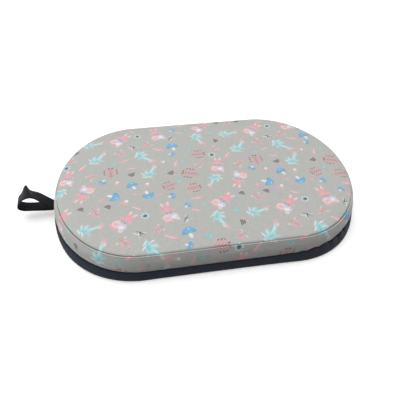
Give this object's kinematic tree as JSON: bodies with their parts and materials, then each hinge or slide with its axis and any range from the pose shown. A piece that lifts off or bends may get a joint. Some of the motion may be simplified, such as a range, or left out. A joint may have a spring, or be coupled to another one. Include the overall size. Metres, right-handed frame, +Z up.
{
  "type": "kneeling pad",
  "caption": "Long round-cornered foam kneeling pad in a sewn fabric cover with a dark base, a zip in the back side and a webbing hanging loop.",
  "frame": {"origin": "middle of the flat underside, at the centre of the pad's outline", "axes": "+X along the pad, away from the hanging loop; +Y towards the long side with the zip; +Z up, out of the kneeling face"},
  "size_m": [0.4962, 0.2963, 0.046],
  "materials": {
    "print_cloth": "matt fine plain-weave cloth, warm light grey with a pastel garden print",
    "base_cloth": "matt charcoal water-resistant cloth",
    "webbing": "black herringbone webbing, slight sheen",
    "comfort_foam": "open-cell comfort foam, cream",
    "support_foam": "closed-cell support foam, dark grey",
    "grey_thread": "light grey polyester thread",
    "black_thread": "black polyester thread",
    "zip_tape": "black woven zip tape",
    "zip_coil": "black nylon coil",
    "zip_metal": "black-coated die-cast metal, satin"
  },
  "bodies": {
    "cushion": {"top_panel": "print_cloth", "side_band": "print_cloth", "rear_band": "print_cloth", "base_panel": "base_cloth", "comfort_foam": "comfort_foam", "support_foam": "support_foam", "top_seam_thread": "grey_thread", "base_seam_thread": "black_thread", "zip_tape_lower": "zip_tape", "zip_tape_upper": "zip_tape", "zip_coil_lower": "zip_coil", "zip_coil_upper": "zip_coil", "zip_closed_stop": "zip_metal", "zip_open_stop": "zip_metal", "loop_tails": "webbing"},
    "zip_slider": {"zip_slider": "zip_metal"},
    "zip_pull": {"zip_pull": "zip_metal"},
    "hanging_loop": {"hanging_loop": "webbing"}
  },
  "joints": [
    {"name": "loop_flex", "type": "hinge", "parent": "cushion", "child": "hanging_loop", "pos_m": [-0.2275, 0, 0.0143], "axis": [0, 1, 0], "range_deg": [-12, 45], "stiffness_Nm_per_rad": 0.02},
    {"name": "zip_travel", "type": "slide", "parent": "cushion", "child": "zip_slider", "axis": [-1, 0, 0], "range_m": [0, 0.172]},
    {"name": "pull_swing", "type": "hinge", "parent": "zip_slider", "child": "zip_pull", "pos_m": [0.086, 0.1481, 0.0203], "axis": [0, 0, 1], "range_deg": [-180, 0]}
  ]
}
